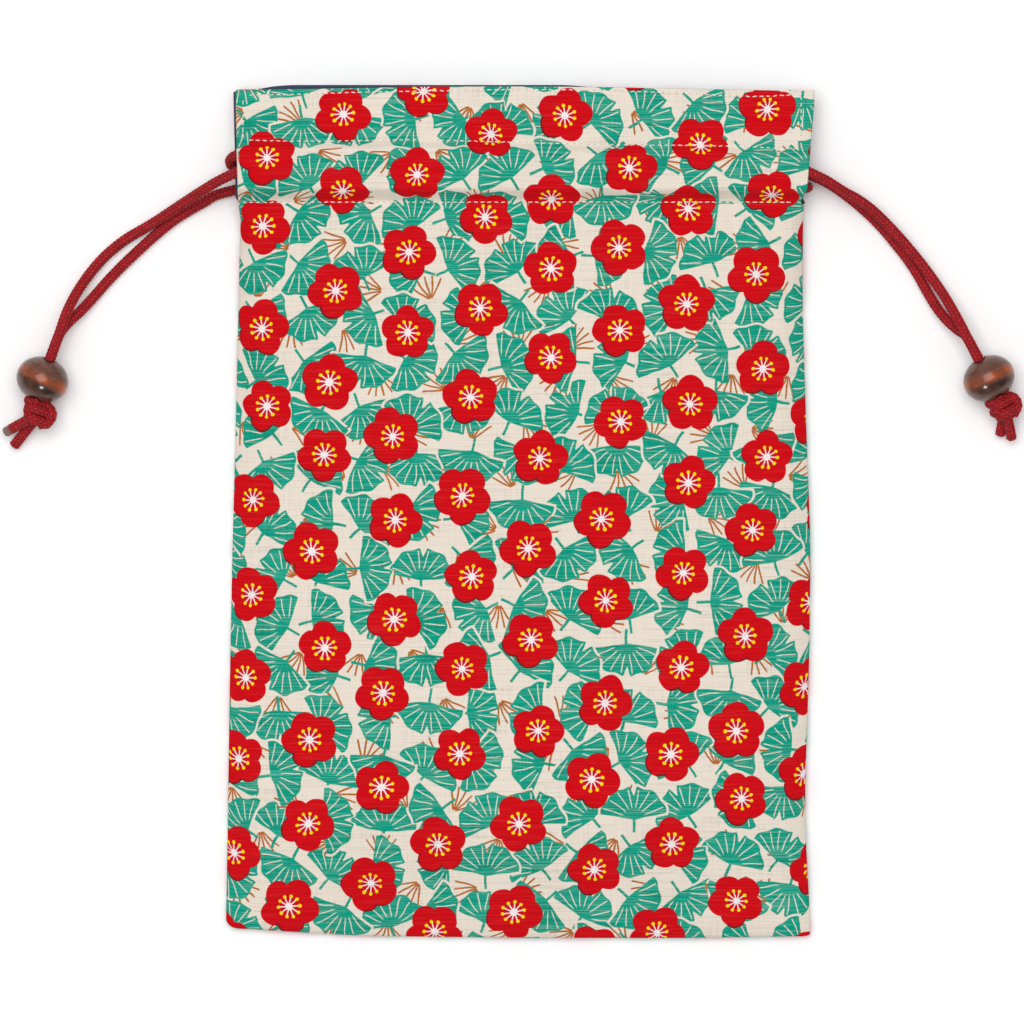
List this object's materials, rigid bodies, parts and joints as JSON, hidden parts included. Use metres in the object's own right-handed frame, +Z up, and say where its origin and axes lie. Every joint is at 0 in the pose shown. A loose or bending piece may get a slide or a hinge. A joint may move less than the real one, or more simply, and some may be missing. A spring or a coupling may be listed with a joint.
{
  "type": "book pouch",
  "caption": "Flat lined drawstring pouch for a book, printed cotton outside, with braided cords drawn from both sides through wooden beads.",
  "frame": {"origin": "on the table, under the middle of the flat pouch", "axes": "+X to the right of the front face, +Y from the bottom to the mouth, +Z up out of the front face"},
  "size_m": [0.3007, 0.25, 0.0154],
  "materials": {
    "printed_cotton": "slub-woven cotton print on a cream ground",
    "navy_lining": "plain-woven matt cotton",
    "braided_cord": "round braid, slight sheen",
    "bead_wood": "turned and lacquered"
  },
  "bodies": {
    "pouch": {"front_panel": "printed_cotton", "back_panel": "printed_cotton", "left_side_seam": "printed_cotton", "right_side_seam": "printed_cotton", "bottom_seam": "printed_cotton", "front_channel": "printed_cotton", "back_channel": "printed_cotton", "front_lining": "navy_lining", "back_lining": "navy_lining", "front_channel_lining": "navy_lining", "back_channel_lining": "navy_lining"},
    "left_mouth": {"front_left_hem": "printed_cotton", "back_left_hem": "printed_cotton"},
    "right_mouth": {"front_right_hem": "printed_cotton", "back_right_hem": "printed_cotton"},
    "left_cord": {"left_cord_front_run": "braided_cord", "left_cord_back_run": "braided_cord", "left_cord_turn": "braided_cord", "left_front_strand": "braided_cord", "left_back_strand": "braided_cord", "left_knot": "braided_cord", "left_tail_1": "braided_cord", "left_tail_2": "braided_cord"},
    "right_cord": {"right_cord_front_run": "braided_cord", "right_cord_back_run": "braided_cord", "right_cord_turn": "braided_cord", "right_front_strand": "braided_cord", "right_back_strand": "braided_cord", "right_knot": "braided_cord", "right_tail_1": "braided_cord", "right_tail_2": "braided_cord"},
    "left_bead": {"left_bead": "bead_wood"},
    "right_bead": {"right_bead": "bead_wood"}
  },
  "joints": [
    {"name": "left_cord_pull", "type": "slide", "parent": "pouch", "child": "left_cord", "axis": [-1, 0, 0], "range_m": [0, 0.045]},
    {"name": "right_cord_pull", "type": "slide", "parent": "pouch", "child": "right_cord", "axis": [1, 0, 0], "range_m": [0, 0.045]},
    {"name": "left_mouth_gather", "type": "slide", "parent": "pouch", "child": "left_mouth", "axis": [1, 0, 0], "range_m": [0, 0.045], "deforming": ["front_channel", "front_channel_lining", "back_channel", "back_channel_lining"]},
    {"name": "right_mouth_gather", "type": "slide", "parent": "pouch", "child": "right_mouth", "axis": [-1, 0, 0], "range_m": [0, 0.045]},
    {"name": "left_bead_slide", "type": "slide", "parent": "left_cord", "child": "left_bead", "axis": [0.3499, 0.9368, 0], "range_m": [0, 0.008]},
    {"name": "right_bead_slide", "type": "slide", "parent": "right_cord", "child": "right_bead", "axis": [-0.477, 0.8789, 0], "range_m": [0, 0.008]}
  ],
  "couplings": [
    {"joint": "right_cord_pull", "follows": "left_cord_pull", "ratio": 1},
    {"joint": "left_mouth_gather", "follows": "left_cord_pull", "ratio": 1},
    {"joint": "right_mouth_gather", "follows": "left_cord_pull", "ratio": 1}
  ]
}
